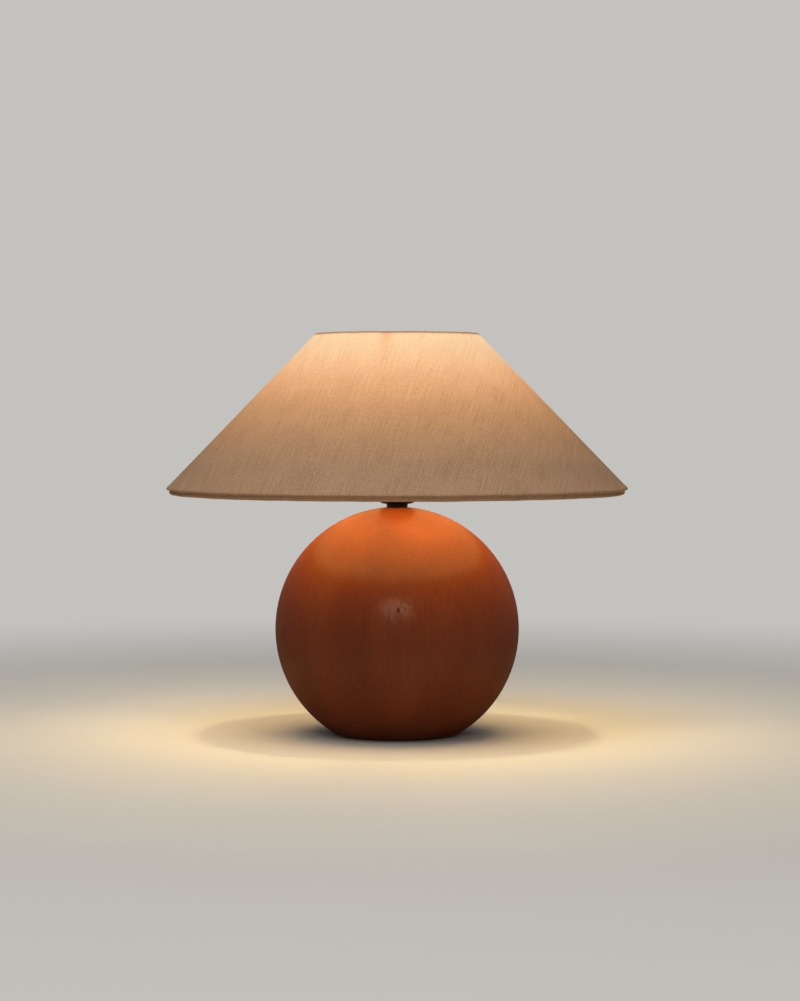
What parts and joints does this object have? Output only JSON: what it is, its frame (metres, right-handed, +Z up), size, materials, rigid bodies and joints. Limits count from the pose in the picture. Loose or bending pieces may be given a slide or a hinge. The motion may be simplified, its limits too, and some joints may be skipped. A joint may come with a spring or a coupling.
{
  "type": "table lamp",
  "caption": "Table lamp: a turned, lacquered wooden ball with a flat foot carries a switched screw lampholder and a wide linen cone shade on a wire spider.",
  "frame": {"origin": "middle of the felt pad's underside, on the lamp's upright axis", "axes": "+Z up, the front faces -Y, the flex inlet and the switch knob face +Y"},
  "size_m": [0.4499, 0.45, 0.392],
  "materials": {
    "lacquered_wood": "reddish brown hardwood with fine upright grain under a clear lacquer",
    "felt": "pressed dark green felt",
    "black_plastic": "moulded, matt",
    "plated_steel": "zinc plated",
    "brass": "drawn brass, bare",
    "black_bakelite": "moulded black phenolic, satin",
    "steatite": "unglazed",
    "bulb_metal": "pressed thin sheet",
    "black_glass": "fused insulator",
    "opal_glass": "frosted opal white",
    "clear_glass": "clear",
    "phosphor": "yellow phosphor coat",
    "white_wire": "cream enamel",
    "shade_liner": "matt translucent white",
    "linen": "natural slubbed linen, plain weave"
  },
  "bodies": {
    "base": {"ball": "lacquered_wood", "felt_pad": "felt", "cord_bushing": "black_plastic", "threaded_tube": "plated_steel", "bottom_washer": "plated_steel", "spring_washer": "plated_steel", "bottom_nut": "brass", "lampholder_cap": "black_bakelite", "grub_screw": "plated_steel", "lampholder_shell": "black_bakelite", "contact_carrier": "steatite", "screw_shell": "brass", "centre_contact": "brass", "terminals": "brass", "terminal_screws": "plated_steel", "switch_blade": "brass", "switch_bush": "brass"},
    "switch": {"switch_shaft": "plated_steel", "switch_cam": "steatite", "switch_knob": "black_bakelite"},
    "shade_ring": {"shade_ring": "black_bakelite"},
    "bulb": {"bulb_contact": "bulb_metal", "bulb_insulator": "black_glass", "bulb_cap": "bulb_metal", "bulb_glass": "opal_glass", "bulb_stem": "clear_glass", "bulb_leads": "plated_steel", "bulb_filaments": "phosphor"},
    "shade": {"fitter_ring": "white_wire", "spider_spokes": "white_wire", "top_ring": "white_wire", "bottom_ring": "white_wire", "shade_liner": "shade_liner", "shade_cover": "linen"}
  },
  "joints": [
    {"name": "shade_swivel", "type": "hinge", "parent": "base", "child": "shade", "pos_m": [0, 0, 0.2635], "axis": [0, 0, 1], "continuous": true},
    {"name": "shade_ring_turn", "type": "hinge", "parent": "base", "child": "shade_ring", "pos_m": [0, 0, 0.2685], "axis": [0, 0, 1], "continuous": true},
    {"name": "switch_turn", "type": "hinge", "parent": "base", "child": "switch", "pos_m": [0, 0.03, 0.24197], "axis": [0, 1, 0], "continuous": true},
    {"name": "bulb_lift", "type": "slide", "parent": "base", "child": "bulb", "axis": [0, 0, 1], "range_m": [0, 0.15]}
  ]
}
